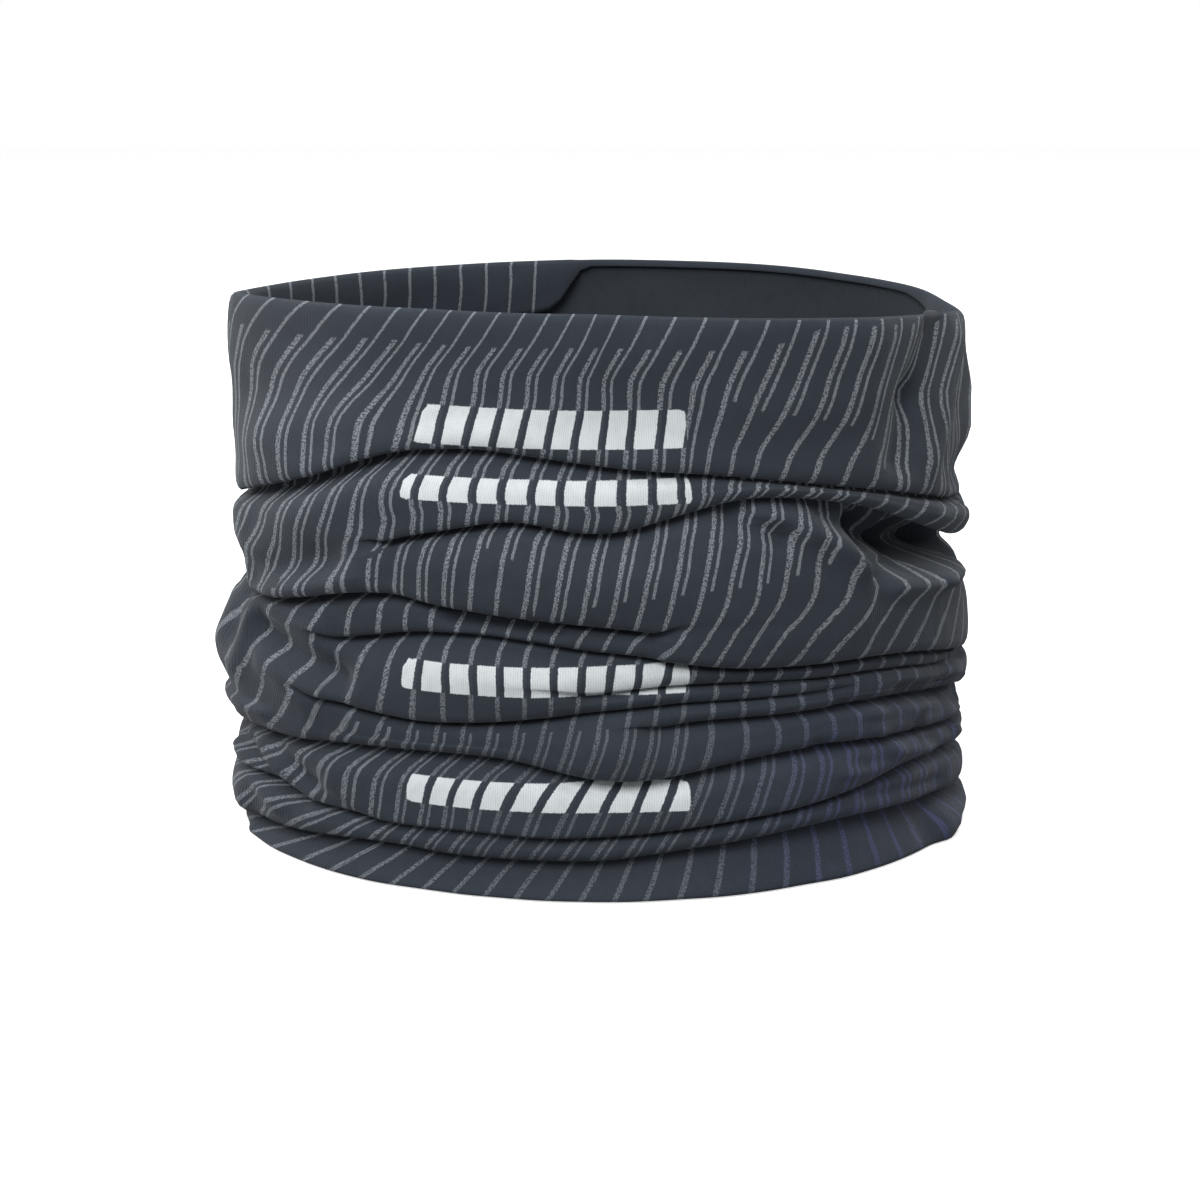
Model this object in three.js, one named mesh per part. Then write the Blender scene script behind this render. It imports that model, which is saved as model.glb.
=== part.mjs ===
// A stretch-knit neck gaiter, worn: one seamless tube of cloth pushed down into rings of folds.
// Millimetres, +Z up, origin on the ground plane under the middle of the neck opening.
// -Y is the front, under the chin, and +X is to the right of someone facing the front.
// The cloth is one piece. It is divided here at its creases, because each ring between two
// creases moves on its own when the collar is pulled up and the folds open out.

import * as THREE from "three";

// Driving dimensions. Each can be changed by itself.
const wornWidth = 167; // side to side, in the creases
const wornDepth = 143; // front to back, in the creases
const wornHeight = 125; // from the lower edge to the rim, at the front
const gatherDepth = 8; // radial depth of the gathered cloth, hidden layers included
const rimDepth = 4; // the same at the rim, where nothing is tucked in
const hemDepth = 6; // the same at the lower edge
const foldBulge = 3.4; // how far a fold's belly stands out past its creases
const bandBulge = 1.8; // the same for the collar and the bottom band, which lie flatter
const tuckRise = 3; // a tuck's inner edge lies this much higher than the crease that shows
const creaseGap = 0.4; // clearance between neighbouring rings
const edgeRound = 1.6; // rounding of a ring's edges beside a crease
const segments = 48; // facets around the neck

// Where the edges and creases run round the neck, in percent of the worn height, at eight evenly
// spaced stations: the front, then by the right side, the back and the left side.
const rimLevels = [100, 98.8, 97.6, 97.6, 98, 97.6, 98, 99.6];
const hemLevels = [0, 0, 0, 0, 0, 0, 0, 0];

// Rings from the collar down. creaseBelow is the lower edge of one and the upper edge of the next.
const rings = [
  {
    name: "collar_band",
    colour: 0x3b4046,
    bulge: bandBulge,
    creaseBelow: [76.8, 69.6, 63.2, 70.4, 74.4, 70.4, 64, 72.8],
  },
  {
    name: "upper_fold",
    colour: 0x41464c,
    bulge: foldBulge,
    creaseBelow: [66, 60.8, 55.2, 60, 63.2, 60.8, 56, 59.2],
  },
  {
    name: "broad_fold",
    colour: 0x363b42,
    bulge: foldBulge,
    creaseBelow: [48.8, 41.6, 36.8, 41.6, 45.6, 46.4, 45.6, 49.6],
  },
  {
    name: "middle_fold",
    colour: 0x3e434a,
    bulge: foldBulge,
    creaseBelow: [35.2, 33.6, 27.2, 28, 30.4, 31.2, 29.6, 32.8],
  },
  {
    name: "lower_fold",
    colour: 0x383d44,
    bulge: foldBulge,
    creaseBelow: [22.4, 22.4, 18.4, 17.6, 19.2, 19.2, 18.4, 23.2],
  },
  {
    name: "bottom_fold",
    colour: 0x40454d,
    bulge: foldBulge,
    creaseBelow: [8, 11.2, 7.6, 7.2, 8, 7.2, 5.6, 7.6],
  },
  { name: "bottom_band", colour: 0x353a43, bulge: bandBulge, creaseBelow: hemLevels },
];

// A smooth closed curve through the stations, in millimetres, as a function of the angle from
// the front. offset raises the whole curve.
function heightAround(levels, offset) {
  const stations = levels.map((level) => new THREE.Vector3((level / 100) * wornHeight, 0, 0));
  const curve = new THREE.CatmullRomCurve3(stations, true, "catmullrom", 0.5);
  return (angle) => {
    const turn = angle / (2 * Math.PI);
    return curve.getPoint(turn - Math.floor(turn)).x + offset;
  };
}

// A ring's closed section: x runs from 0 at the inner wall to 1 at the outer wall, and y from 0
// at the lower edge to 1 at the upper one. edge is the rounding's share of the ring's height.
function ringSection(edge) {
  const outline = [
    [0, 0],
    [0.72, 0],
    [0.93, 0.3 * edge],
    [1, edge],
    [1, 0.5],
    [1, 1 - edge],
    [0.93, 1 - 0.3 * edge],
    [0.72, 1],
    [0, 1],
    [0, 0],
  ];
  return outline.map(([across, up]) => new THREE.Vector2(1 + across, up));
}

// Bends a plain ring of that section to the worn oval, between its lower and upper edges. Each
// edge is { height, depth, rise }: its height at an angle, how deep the cloth is there, and how
// much higher its inner side lies.
function ringGeometry(lower, upper, bulge) {
  const frontHeight = upper.height(0) - lower.height(0);
  const section = ringSection(Math.min(edgeRound / frontHeight, 0.4));
  const geometry = new THREE.LatheGeometry(section, segments);
  geometry.rotateX(Math.PI / 2);
  const position = geometry.attributes.position;
  const { lerp } = THREE.MathUtils;
  for (let i = 0; i < position.count; i += 1) {
    const x = position.getX(i);
    const y = position.getY(i);
    const up = position.getZ(i);
    const inward = 2 - Math.hypot(x, y);
    const angle = Math.atan2(x, -y);
    const belly = (1 - inward) * bulge * Math.sin(Math.PI * up);
    const inset = inward * lerp(lower.depth, upper.depth, up) - belly;
    const height = lerp(lower.height(angle), upper.height(angle), up);
    position.setXYZ(
      i,
      (wornWidth / 2 - inset) * Math.sin(angle),
      -(wornDepth / 2 - inset) * Math.cos(angle),
      height + inward * lerp(lower.rise, upper.rise, up),
    );
  }
  geometry.computeVertexNormals();
  return geometry;
}

function creaseEdge(levels, offset) {
  return { height: heightAround(levels, offset), depth: gatherDepth, rise: tuckRise };
}

function makeRing(ring, index) {
  const upper =
    index === 0
      ? { height: heightAround(rimLevels, 0), depth: rimDepth, rise: 0 }
      : creaseEdge(rings[index - 1].creaseBelow, -creaseGap / 2);
  const lower =
    index === rings.length - 1
      ? { height: heightAround(ring.creaseBelow, 0), depth: hemDepth, rise: 0 }
      : creaseEdge(ring.creaseBelow, creaseGap / 2);
  const cloth = new THREE.MeshStandardMaterial({
    color: ring.colour,
    roughness: 0.92,
    metalness: 0,
  });
  const mesh = new THREE.Mesh(ringGeometry(lower, upper, ring.bulge), cloth);
  mesh.name = ring.name;
  return mesh;
}

const gaiter = new THREE.Group();
gaiter.name = "neck_gaiter";
gaiter.add(...rings.map(makeRing));

export default gaiter;
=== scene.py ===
"""A worn neck gaiter: one seamless tube of printed stretch knit, pushed down into folds round the neck.

The cloth is laid out from its creases. Each crease is a real tuck: the cloth above it comes down to a lip, turns
up behind itself, turns again and comes out under the lip as the next band. All sizes are in the frame's metres
unless a name or a description says millimetres.
"""

import math

import bmesh
import bpy
import numpy as np
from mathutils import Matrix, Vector, noise


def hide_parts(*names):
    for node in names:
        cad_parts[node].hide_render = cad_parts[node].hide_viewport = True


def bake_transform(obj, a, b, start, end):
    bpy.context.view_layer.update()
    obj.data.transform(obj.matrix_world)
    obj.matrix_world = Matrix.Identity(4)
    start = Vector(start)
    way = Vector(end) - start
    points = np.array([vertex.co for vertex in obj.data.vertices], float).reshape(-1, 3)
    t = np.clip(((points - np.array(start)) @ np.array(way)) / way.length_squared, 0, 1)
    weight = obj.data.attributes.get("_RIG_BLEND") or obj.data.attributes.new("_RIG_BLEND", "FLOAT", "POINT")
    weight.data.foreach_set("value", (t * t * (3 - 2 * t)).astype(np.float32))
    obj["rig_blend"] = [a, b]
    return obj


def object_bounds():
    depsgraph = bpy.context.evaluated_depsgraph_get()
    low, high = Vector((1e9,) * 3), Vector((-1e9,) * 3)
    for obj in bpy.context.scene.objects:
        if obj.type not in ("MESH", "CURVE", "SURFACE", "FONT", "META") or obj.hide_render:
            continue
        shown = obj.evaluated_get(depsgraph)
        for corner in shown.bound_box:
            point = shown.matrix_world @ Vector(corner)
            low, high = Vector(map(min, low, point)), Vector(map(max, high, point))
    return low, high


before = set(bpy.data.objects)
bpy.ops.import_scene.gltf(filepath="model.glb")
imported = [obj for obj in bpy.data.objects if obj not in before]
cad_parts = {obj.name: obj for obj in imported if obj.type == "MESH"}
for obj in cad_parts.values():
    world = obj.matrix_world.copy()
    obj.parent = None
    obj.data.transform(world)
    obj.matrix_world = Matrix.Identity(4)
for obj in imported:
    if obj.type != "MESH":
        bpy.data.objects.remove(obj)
CAD_LOW, CAD_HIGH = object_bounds()

bl_info = {
    "name": "Neck gaiter",
    "version": (1, 0, 0),
    "blender": (4, 5, 0),
    "location": "3D View > Sidebar > Gaiter",
    "description": "Builds a worn, printed neck gaiter round its packed frame",
    "category": "Add Mesh",
}

MM = 0.001
WORN_HEIGHT_MM = CAD_HIGH.z / MM
# The worn height that the tables of heights below are drawn for.
DRAWN_HEIGHT_MM = 125.0
MEAN_RADIUS_MM = (CAD_HIGH.x + CAD_HIGH.y) / 2 / MM
MM_PER_DEGREE = math.radians(1.0) * MEAN_RADIUS_MM
# How far the folds swell past the creases.
SWELL_MM = 3.4
# The share of a band's place past which the cloth is behind its lip.
BEHIND_LIP = 0.65
# A bar's signed distance where no bar is near, in mm.
FAR_OUTSIDE = -9.0

# Creases from the collar down. A knot is (angle from the front in degrees, height in mm, overlap in mm):
# how high the crease lies there, and how far its tuck goes up behind the lip. An overlap of 0 is flat cloth.
CREASES = {
    "collar": (
        (-150, 88, 18), (-120, 84, 18), (-95, 79, 18), (-79, 80, 18), (-62, 85, 18), (-48, 89.5, 18), (-41, 93, 18),
        (-32, 97.5, 18), (-19, 99, 17), (-7, 97, 16), (5, 95, 15), (17, 93.5, 15), (29, 91, 16), (50, 86, 18),
        (69, 80.5, 18), (85, 78, 18), (110, 82, 18), (145, 90, 18), (180, 92, 18),
    ),
    "swag": (
        (-140, 76, 18), (-110, 73, 16), (-90, 69, 7), (-71, 66, 0), (-60, 66, 0), (-54, 66, 0), (-48, 68.8, 0),
        (-42, 72, 0), (-37, 75.5, 0), (-32, 78.4, 2), (-28, 80, 6), (-23, 81.5, 13), (-18, 83, 16),
        (-14, 84.6, 16), (-9, 84, 16), (-3, 81.6, 15),
        (3, 81.8, 15), (8, 84, 15), (14, 86.4, 16), (21, 88.4, 18), (26, 88.2, 20), (33, 86.8, 20), (41, 84.6, 20),
        (49, 81, 20), (58, 76.6, 20), (70, 71.8, 20), (83, 70.6, 20), (100, 71.6, 18), (130, 74, 18), (180, 79, 18),
    ),
    "broad": (
        (-130, 59, 18), (-90, 60, 18), (-71, 59.5, 16), (-56, 61, 16), (-46, 63.8, 16), (-38, 66.4, 15),
        (-31, 67.2, 15), (-25, 65.6, 15), (-13, 64, 15), (-6, 63, 14), (0, 62, 11), (6, 61, 5), (12, 60, 0),
        (30, 59, 0), (60, 56, 0), (90, 53, 0), (130, 57, 5), (160, 61, 15), (180, 62, 18),
    ),
    "under_swag": (
        (-150, 51, 12), (-122, 50, 4), (-108, 51, 0), (-55, 53, 0), (-45, 54.5, 1), (-39, 56, 5), (-27, 59.2, 9),
        (-17, 59.5, 10), (-9, 58.2, 11), (-3, 56.6, 12), (6, 55.3, 15), (12, 53.6, 16), (21, 51.7, 15), (34, 51, 10),
        (44, 50.8, 9), (55, 49.3, 9), (70, 45.5, 10), (83, 42, 10), (100, 43, 12), (130, 47, 14), (180, 52, 14),
    ),
    "slack": (
        (-130, 44, 0), (-90, 45, 0), (-50, 47, 0), (-20, 47, 0), (-8, 47, 1), (0, 47.6, 4), (8, 48.6, 6),
        (16, 48.7, 7), (24, 48.1, 7), (34, 47.5, 7), (44, 47.2, 7), (55, 45.8, 5), (68, 42.5, 2), (83, 39.4, 0),
        (130, 42, 0), (180, 46, 0),
    ),
    "waist": (
        (-150, 38, 14), (-122, 38, 5), (-108, 40, 0), (-52, 41.5, 0), (-45, 41.5, 3), (-38, 40.8, 8), (-30, 39.8, 12),
        (-24, 39.8, 14), (-16, 40.6, 14), (-7, 42.3, 13), (3, 43.8, 10), (10, 44.6, 8), (18, 44.8, 6), (26, 44.4, 4),
        (36, 44, 2), (48, 43.2, 0), (60, 41, 0), (83, 36.5, 0), (130, 38, 3), (180, 41, 12),
    ),
    "side": (
        (-130, 34, 0), (-90, 33, 0), (-50, 35, 0), (-20, 36, 0), (0, 38, 0), (8, 39.5, 2), (14, 40.6, 8),
        (20, 40.6, 13), (28, 40.4, 15), (38, 40.5, 15), (48, 40, 15), (64, 37.6, 15), (83, 33.4, 14), (100, 33, 14),
        (130, 34, 12), (180, 35, 2),
    ),
    "low": (
        (-130, 25, 12), (-90, 24.5, 13), (-75, 27, 13), (-62, 29.5, 12), (-50, 30.5, 10), (-40, 31.6, 9),
        (-24, 32.8, 9), (-13, 32.4, 9), (-4, 29.6, 9), (1, 28.2, 9), (6, 27.9, 9), (14, 29.8, 11), (24, 32, 12),
        (37, 32.6, 13), (51, 31, 13), (66, 29, 13), (83, 26.5, 13), (130, 26, 13), (180, 27, 13),
    ),
    "lowest": (
        (-130, 16, 11), (-90, 16, 11), (-75, 17.5, 10), (-60, 18, 8), (-47, 16.6, 5), (-34, 15.8, 3), (-17, 16, 3),
        (-6, 15.6, 4), (9, 16.4, 6), (19, 18.3, 9), (30, 19.6, 11), (43, 21.4, 12), (55, 23.4, 12), (70, 22.6, 12),
        (90, 19, 11), (130, 17, 11), (180, 17, 11),
    ),
    "bottom": (
        (-130, 8, 11), (-90, 6, 10), (-66, 6.8, 10), (-48, 9, 11), (-34, 10.6, 11), (-23, 10.1, 12), (0, 10, 13),
        (9, 11.5, 14), (19, 12.8, 15), (28, 14.4, 15), (38, 14.9, 15), (49, 14.5, 15), (66, 12.8, 15), (83, 9.4, 14),
        (100, 8.4, 13), (140, 9, 12), (180, 10, 12),
    ),
}
# The rim's height, and how far the cut edge is turned in behind it.
RIM = (
    (-176, 122.9, 1.4), (-171, 122.7, 13), (-150, 122.3, 17), (-120, 122, 17), (-90, 122, 15), (-60, 123.5, 14),
    (-30, 125, 13), (0, 125.2, 12), (30, 123.2, 9), (50, 121.8, 7), (75, 119.8, 6), (88, 117.2, 7), (102, 118.6, 8),
    (110, 120.4, 3), (116, 121, 1.4), (150, 122.8, 1.4), (180, 123, 1.4),
)


def around(angles, knots, column, softness=3.0):
    """One column of the knots as a smooth closed curve round the neck. softness is in degrees."""
    dense = np.arange(-180.0, 180.0)
    at = [knot[0] for knot in knots]
    line = np.interp(dense, at, [knot[column] for knot in knots], period=360)
    reach = (dense + 180.0) % 360.0 - 180.0
    kernel = np.exp(-0.5 * (reach / softness) ** 2)
    kernel = np.roll(kernel / kernel.sum(), 180)
    smooth = np.real(np.fft.ifft(np.fft.fft(line) * np.fft.fft(kernel)))
    return np.interp(angles, dense, smooth, period=360)


def blur(angles, softness):
    """Weights that average a column's value with those round it, softness in degrees."""
    apart = (angles[:, None] - angles[None, :] + 180.0) % 360.0 - 180.0
    weights = np.exp(-0.5 * (apart / softness) ** 2) * np.gradient(angles)[None, :]
    return weights / weights.sum(axis=1, keepdims=True)


def smooth_step(x):
    x = np.clip(x, 0.0, 1.0)
    return x * x * (3 - 2 * x)


# Soft ridges (positive) and hollows (negative): first and last band that they shape, the two ends as
# (angle, height), then width and amount in mm. Band 0 is the collar.
DENTS = (
    (0, 0, (-92, 112), (-84, 108), 17, 1.6),
    (0, 0, (-72, 103), (-36, 108), 7, -1.0),
    (0, 0, (-64, 95), (-40, 101), 5, 1.0),
    (0, 0, (63, 121), (54, 106), 4.5, -2.6),
    (0, 0, (54, 104), (50, 92), 4.5, -2.2),
    (0, 0, (71, 113), (60, 90), 5, 2.2),
    (0, 0, (88, 100), (84, 94), 7, 2.2),
    (0, 0, (98, 82), (74, 82), 5, -2.2),
    (0, 0, (45, 118), (42, 95), 6, 0.9),
    (0, 0, (84, 112), (78, 100), 6, -1.4),
    (1, 1, (-62, 82), (-34, 94.5), 2.6, -1.8),
    (1, 2, (-66, 74), (-46, 70), 5, -1.4),
    (1, 3, (-98, 62), (-76, 61), 8, -3.2),
    (1, 2, (-66, 62.5), (-42, 71.5), 4.2, -2.0),
    (1, 2, (-58, 59), (-38, 67), 4.0, 1.6),
    (1, 1, (-31, 92.2), (-8, 91.8), 1.6, -0.9),
    (1, 1, (60, 77.5), (76, 74.5), 4, 2.0),
    (2, 2, (45, 76), (60, 70), 4.4, -14.0),
    (2, 2, (60, 70), (84, 66.4), 3.8, -15.0),
    (2, 2, (84, 66.4), (104, 65.5), 3.4, -5.0),
    (2, 2, (34, 81), (47, 77), 3.2, -4.5),
    (2, 3, (48, 64.2), (62, 62.6), 2.4, 2.8),
    (2, 3, (62, 62.6), (84, 62.2), 2.4, 2.4),
    (2, 3, (80, 60), (104, 58), 7, -1.6),
    (2, 2, (19, 83.5), (27, 78), 2.4, -2.8),
    (2, 2, (24, 83.5), (32, 78), 2.0, 1.6),
    (2, 2, (33, 80), (42, 69), 2.6, 3.2),
    (2, 2, (43.5, 68.4), (54, 67), 1.7, -5.0),
    (2, 2, (-20, 74), (25, 70), 9, 1.2),
    (3, 7, (-93, 45), (-84, 43), 10, 3.0),
    (3, 7, (-80, 44), (-70, 38), 8, 1.2),
    (3, 7, (-66, 54), (-71, 40), 3.4, 1.5),
    (3, 7, (-79, 54), (-76, 47), 3.4, -2.0),
    (3, 7, (-63, 51), (-41, 45.6), 3.4, -3.4),
    (3, 7, (-61, 44.5), (-44, 39.5), 4.0, 1.4),
    (3, 7, (-22, 52), (-4, 49), 7, 1.6),
    (3, 3, (-22, 62), (-7, 60.5), 2.6, -2.6),
    (7, 7, (84, 32), (50, 36), 3.0, -1.6),
    (8, 8, (-41, 27.6), (-14, 29.8), 1.2, -0.8),
    (7, 7, (-86, 30), (-60, 33), 3.0, 1.8),
    (8, 8, (-84, 22), (-62, 20), 1.8, -1.4),
    (8, 9, (-72, 21), (-52, 14), 2.0, -2.0),
    (8, 9, (-80, 18), (-58, 11), 2.2, 1.6),
    (8, 8, (-62, 26), (-48, 20), 2.0, -1.6),
    (8, 8, (-70, 25), (-56, 20), 1.8, 1.2),
    (8, 9, (-52, 20), (-36, 13), 1.6, -1.0),
    (7, 8, (-82, 27), (-66, 24), 1.5, -1.0),
    (7, 8, (62, 33), (84, 28), 2.2, -1.5),
    (8, 9, (50, 26), (74, 20), 2.2, 1.2),
    (6, 7, (52, 40), (72, 34), 2.0, -1.4),
    (6, 7, (38, 39.5), (58, 37.5), 1.5, -1.2),
    (6, 7, (44, 36.6), (66, 32), 1.8, 1.2),
    (7, 8, (70, 29), (88, 25), 1.8, 1.2),
    (10, 10, (-70, 1), (70, 1), 3.5, 1.0),
    (5, 7, (92, 36), (72, 38), 5, 2.0),
    (8, 8, (92, 24), (76, 25), 4, 1.8),
    (8, 9, (96, 16), (72, 12), 7, 1.0),
    (10, 10, (104, 5), (66, 4.5), 4.5, 4.4),
    (7, 8, (34, 31), (44, 24), 1.6, -1.0),
    (7, 8, (46, 31.5), (52, 25), 1.4, 0.9),
    (7, 8, (58, 30), (60, 24), 1.6, -1.1),
    (8, 8, (38, 24), (50, 22.5), 1.3, 0.9),
    (8, 9, (62, 25), (72, 19), 1.6, -1.2),
    (8, 9, (74, 24), (80, 18), 1.6, 1.0),
    (6, 7, (66, 38), (80, 33), 1.8, -1.3),
    (7, 7, (60, 34), (74, 30), 1.6, 1.1),
    (9, 9, (44, 17), (66, 14), 1.6, -0.9),
    (10, 10, (100, -1), (70, -1), 2.6, -1.2),
    (8, 10, (-96, 13), (-74, 11), 7, 1.8),
    (9, 10, (-100, 7), (-72, 6), 5, 1.8),
    (10, 10, (-100, -1), (-72, -1), 2.6, -1.0),
)
# How flat the sheet is pulled between its sides near the rim, by angle: 0 is an oval, more is a pointed lens.
LENS = ((-180, 0.05), (-140, 0.12), (-105, 0.30), (-90, 0.36), (-60, 0.36), (-30, 0.22), (0, 0.1), (45, 0.02),
        (75, 0.1), (90, 0.22), (110, 0.15), (140, 0.05))
# How wide the print's stripes are, by angle, against their mean.
SPREAD = ((-180, 0.95), (-115, 1.15), (-90, 2.0), (-62, 1.9), (-44, 1.25), (-31, 0.92), (-20, 0.86), (5, 0.9),
          (25, 1.0), (90, 1.0))


# White bars of the print, plain and square-ended: the first and last band that each one covers, then its lower
# and upper edge in mm. All of them run between the same two angles.
BAR_ENDS = (-29, 13)
BARS = ((0, 0, 98, 106), (1, 1, 86.5, 91.5), (4, 5, 45.5, 52), (8, 8, 20, 26))

# How far the print leans, as its run to the left per run down the cloth: (place down the cloth, then knots of
# (angle, lean)). The place is in bands, and a band's own lower half is the tuck below it.
LEAN = (
    (0.0, ((-180, 0.4), (-90, 0.3), (-75, 0.7), (-55, 0.9), (-40, 0.7), (-25, 0.8), (-10, 0.75), (5, 0.65),
           (20, 0.5), (40, 0.4), (55, 0.25), (70, 0.6), (90, 0.3), (140, 0.4))),
    (0.2, ((-180, 0.4), (-90, 0.2), (-75, 0.4), (-55, 0.7), (-40, 1.0), (-25, 1.15), (-10, 0.95), (5, 0.8),
            (20, 0.6), (40, 0.45), (52, 0.7), (62, 0.9), (75, 0.9), (90, 0.5), (140, 0.4))),
    (0.26, ((-180, 0.35), (-90, 0.1), (-75, 0.2), (-55, 0.5), (-42, 0.95), (-34, 0.75), (-27, 0.3), (-20, 0.12),
            (5, 0.1), (15, 0.3), (22, 0.6), (40, 0.45), (53, 0.35), (65, 0.1), (78, 0.7), (90, 0.4), (140, 0.35))),
    (0.31, ((-180, 0.3), (-90, 0), (-75, 0), (-55, 0.25), (-42, 0.8), (-34, 0.7), (-27, 0.1), (-20, 0.04), (5, 0.08),
            (15, 0.2), (22, 0.6), (40, 0.45), (54, 0), (68, -0.6), (80, 0.6), (90, 0.3), (140, 0.3))),
    (0.5, ((-180, 0.3), (-90, -0.3), (-75, -0.3), (-55, -0.25), (-40, -0.1), (-30, -0.05), (-20, 0.03), (5, 0.1),
           (15, 0.2), (22, 0.6), (40, 0.45), (54, 0.1), (68, -0.8), (80, 0.2), (140, 0.3))),
    (1.0, ((-180, 0.3), (-75, 0.0), (-50, 0.15), (-32, 0.6), (-15, 0.6), (0, 0.3), (12, 0.1), (22, 0.7), (50, 1.2),
           (75, 1.0), (120, 0.3))),
    (1.15, ((-180, 0.3), (-75, 0.0), (-60, 0.1), (-50, 0.25), (-34, 0.1), (-20, 0.08), (10, 0.1), (22, 0.9),
            (50, 1.4), (75, 1.0), (120, 0.3))),
    (1.5, ((-180, 0.3), (-80, 0.1), (-68, 0.4), (-58, 0.9), (-44, 1.0), (-36, 0.4), (-28, 0.15), (-10, 0.25),
           (10, 0.25), (22, 1.2), (50, 1.6), (75, 1.0), (120, 0.3))),
    (2.0, ((-180, 0.2), (-70, 0.2), (-45, 0.8), (-35, 0.4), (-20, 0.2), (20, 0.35), (32, 0.5), (42, 0), (75, 0),
           (120, 0.2))),
    (2.38, ((-180, 0.2), (-70, 0), (-45, 0.1), (-25, 0.2), (20, 0.3), (30, 0.2), (50, 0.25), (62, 0.1), (75, 0),
            (120, 0.2))),
    (2.5, ((-180, 0.2), (-70, 0), (-45, 0.1), (-25, 0.2), (10, 0.3), (22, 1.0), (50, 1.1), (68, 0.5), (80, 0),
           (120, 0.2))),
    (3.3, ((-180, 0.3), (-80, 0.2), (-60, 0.5), (-45, 0.35), (-30, 0.1), (-14, 0.1), (-6, 0.9), (14, 0.9), (30, 0.9),
           (60, 0.6), (80, 0.4), (120, 0.2))),
    (4.4, ((-180, 0.3), (-80, 0.2), (-60, 0.5), (-45, 0.4), (-34, 0.3), (-26, 0.05), (-5, 0), (14, 0.4), (60, 0.4),
           (120, 0.2))),
    (7.4, ((-180, 0.3), (-80, 0.5), (-60, 0.6), (-40, 0.55), (-25, 0.25), (0, 0.35), (12, 0.3), (22, 0), (50, -0.1),
           (80, 0.2), (120, 0.2))),
    (8.1, ((-180, 0.3), (-80, 0.8), (-60, 0.5), (-42, 0.7), (-20, 0.8), (-5, 0.6), (10, 0.5), (30, 0.4),
           (50, 0.1), (80, -0.1), (120, 0))),
    (8.4, ((-180, 0.3), (-80, 1.2), (-64, 1.0), (-50, 0.3), (-35, 0.1), (-20, 0.3), (-5, 0.55), (10, 0.5),
           (30, 0.4), (50, 0.1), (80, -0.1), (120, 0))),
    (9.3, ((-180, 0.3), (-80, 1.2), (-60, 1.3), (-40, 0.6), (-20, 0.5), (0, 0.55), (15, 0.45), (30, 0.3),
           (45, 0), (80, -0.2), (120, 0))),
    (10.2, ((-180, 0.3), (-80, 1.3), (-55, 1.25), (-30, 0.95), (-10, 0.7), (10, 0.5), (24, 0.3), (36, 0.15),
            (50, 0.0), (62, -0.15), (80, -0.45), (120, 0))),
)
# How far the whole print is turned round the neck.
PRINT_SHIFT_MM = 1.7


class GaiterCloth(bpy.types.PropertyGroup):
    half_width: bpy.props.FloatProperty(
        name="Half width", description="Middle to side, in the creases",
        default=CAD_HIGH.x - SWELL_MM * MM, unit="LENGTH",
    )
    half_depth: bpy.props.FloatProperty(
        name="Half depth", description="Middle to front, in the creases",
        default=CAD_HIGH.y - SWELL_MM * MM, unit="LENGTH",
    )
    thickness: bpy.props.FloatProperty(
        name="Thickness", description="Thickness of the knit", default=0.6 * MM, unit="LENGTH",
    )
    flat_width: bpy.props.FloatProperty(
        name="Girth", description="Girth of the tube as cut", default=0.50, unit="LENGTH",
    )
    flat_length: bpy.props.FloatProperty(
        name="Cut length", description="Length of the tube as cut", default=0.42, unit="LENGTH",
    )
    columns: bpy.props.IntProperty(
        name="Columns", description="Mesh columns round the neck", default=240, min=40,
    )


class GaiterPrint(bpy.types.PropertyGroup):
    stripes: bpy.props.IntProperty(
        name="Stripes", description="Number of stripes round the neck", default=66, min=1,
    )
    ground: bpy.props.FloatVectorProperty(
        name="Ground", description="Colour of the cloth between the stripes", subtype="COLOR", size=3,
        default=(0.0345, 0.0435, 0.0580),
    )
    line: bpy.props.FloatVectorProperty(
        name="Lines", description="Colour of the chalky lines", subtype="COLOR", size=3,
        default=(0.25, 0.275, 0.305),
    )
    violet: bpy.props.FloatVectorProperty(
        name="Violet", description="Colour that the lines turn at the lower right", subtype="COLOR", size=3,
        default=(0.11, 0.125, 0.31),
    )
    bar: bpy.props.FloatVectorProperty(
        name="Bars", description="Colour of the white bars", subtype="COLOR", size=3,
        default=(0.74, 0.79, 0.81),
    )
    reverse: bpy.props.FloatVectorProperty(
        name="Reverse", description="Colour of the unprinted side", subtype="COLOR", size=3,
        default=(0.0355, 0.0435, 0.0540),
    )


def spline_weights(samples, controls):
    """Uniform cubic B-spline weights, one row per sample, with the ends held."""
    weights = np.zeros((len(samples), controls))
    for row, at in enumerate(samples):
        first = min(int(at), controls - 2)
        f = at - first
        shares = ((1 - f) ** 3, 3 * f**3 - 6 * f**2 + 4, -3 * f**3 + 3 * f**2 + 3 * f + 1, f**3)
        for step, share in enumerate(shares):
            weights[row, min(max(first - 1 + step, 0), controls - 1)] += share / 6
    return weights


def tuck_profile(height, overlap, lip, push, tucked, room):
    """Controls of one tuck as (out, up) pairs in mm, from the lip to where the next band comes out. push moves
    the top of a tuck that is higher than the band in front of it further in. tucked is 0 where it has died out.
    room is how far the band reaches above the lip."""
    start = np.minimum(2.6, 0.8 * room)
    top = np.minimum(1.8, 0.8 * room)
    folded = (
        (lip + 0.4, start), (lip + 0.5, 0.1), (lip - 0.5, -2.1), (lip - 2.5, -0.9),
        (-2.6 - 0.3 * push, 0.45 * overlap), (-3.0 - push, overlap), (-4.6 - push, overlap + 0.2),
        (-5.2 - 0.4 * push, 0.45 * overlap), (-5.4, 1.4), (-3.4, -2.4),
    )
    steps = len(folded) - 1
    for i, (out, up) in enumerate(folded):
        flat_up = top - (top + 1.8) * i / steps
        yield out, height + tucked * up + (1 - tucked) * flat_up


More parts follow.
